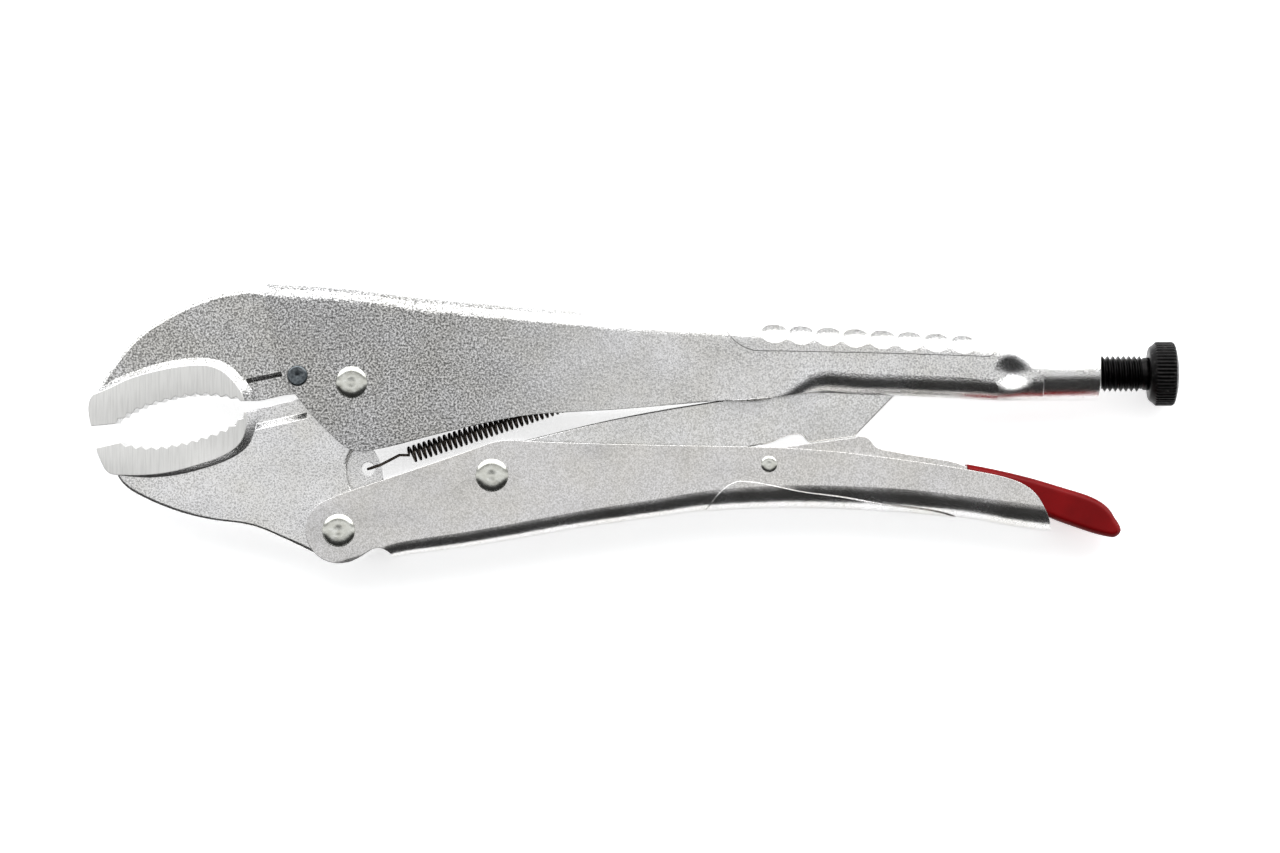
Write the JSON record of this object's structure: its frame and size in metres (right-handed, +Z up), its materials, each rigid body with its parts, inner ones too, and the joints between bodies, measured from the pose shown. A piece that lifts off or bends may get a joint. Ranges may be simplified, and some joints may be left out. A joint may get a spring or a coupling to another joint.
{
  "type": "locking pliers",
  "caption": "Locking pliers with curved toothed jaws, a wire cutter, an over-centre toggle link, a release lever and a knurled adjusting screw.",
  "frame": {"origin": "centre of the bottom of the tool's box, on the surface that it lies on", "axes": "+X from the jaws to the adjusting knob, +Y from the lower handle to the upper handle, +Z up across the tool's thickness"},
  "size_m": [0.3054, 0.0782, 0.018],
  "materials": {
    "plated_sheet": "satin nickel plate on blasted pressed steel",
    "plated_forging": "nickel plate on a tumbled forging, side faces ground",
    "rivet_steel": "bright plated, domed",
    "black_oxide": "black oxide, oiled",
    "red_dip": "gloss dipped plastic"
  },
  "bodies": {
    "fixed_frame": {"upper_handle": "plated_sheet", "upper_jaw": "plated_forging", "main_pivot_rivet": "rivet_steel", "jaw_pin": "black_oxide", "spring_anchor_pin": "rivet_steel", "jaw_spring": "black_oxide"},
    "moving_jaw": {"lower_jaw": "plated_forging", "lower_jaw_rivet": "rivet_steel"},
    "closing_handle": {"lower_handle": "plated_sheet", "toggle_rivet": "rivet_steel", "lever_rivet": "rivet_steel"},
    "toggle": {"toggle_link": "plated_sheet"},
    "release": {"release_lever": "plated_sheet", "lever_dip": "red_dip"},
    "screw": {"adjusting_screw": "black_oxide"},
    "screw_knob": {"knob": "black_oxide"}
  },
  "joints": [
    {"name": "jaw_open", "type": "hinge", "parent": "fixed_frame", "child": "moving_jaw", "pos_m": [-0.07905, 0.01148, 0.009], "axis": [0, 0, 1], "range_deg": [0, 20], "deforming": ["jaw_spring"]},
    {"name": "handle_fold", "type": "hinge", "parent": "moving_jaw", "child": "closing_handle", "pos_m": [-0.08265, -0.02992, 0.009], "axis": [0, 0, -1], "range_deg": [0, 74]},
    {"name": "toggle_fold", "type": "hinge", "parent": "closing_handle", "child": "toggle", "pos_m": [-0.03985, -0.01452, 0.009], "axis": [0, 0, 1], "range_deg": [0, 78]},
    {"name": "lever_lift", "type": "hinge", "parent": "closing_handle", "child": "release", "pos_m": [0.03755, -0.01142, 0.009], "axis": [0, 0, 1], "range_deg": [0, 8]},
    {"name": "screw_travel", "type": "slide", "parent": "fixed_frame", "child": "screw", "axis": [1, 0, 0], "range_m": [0, 0.015]},
    {"name": "screw_turn", "type": "hinge", "parent": "screw", "child": "screw_knob", "pos_m": [0.14495, 0.01388, 0.009], "axis": [1, 0, 0], "range_deg": [0, 3600]}
  ],
  "couplings": [
    {"joint": "jaw_open", "follows": "handle_fold", "ratio": 0.27027},
    {"joint": "toggle_fold", "follows": "handle_fold", "ratio": 1.0541},
    {"joint": "lever_lift", "follows": "handle_fold", "ratio": 0.10811},
    {"joint": "screw_turn", "follows": "screw_travel", "rad_per_m": 4188.8}
  ]
}
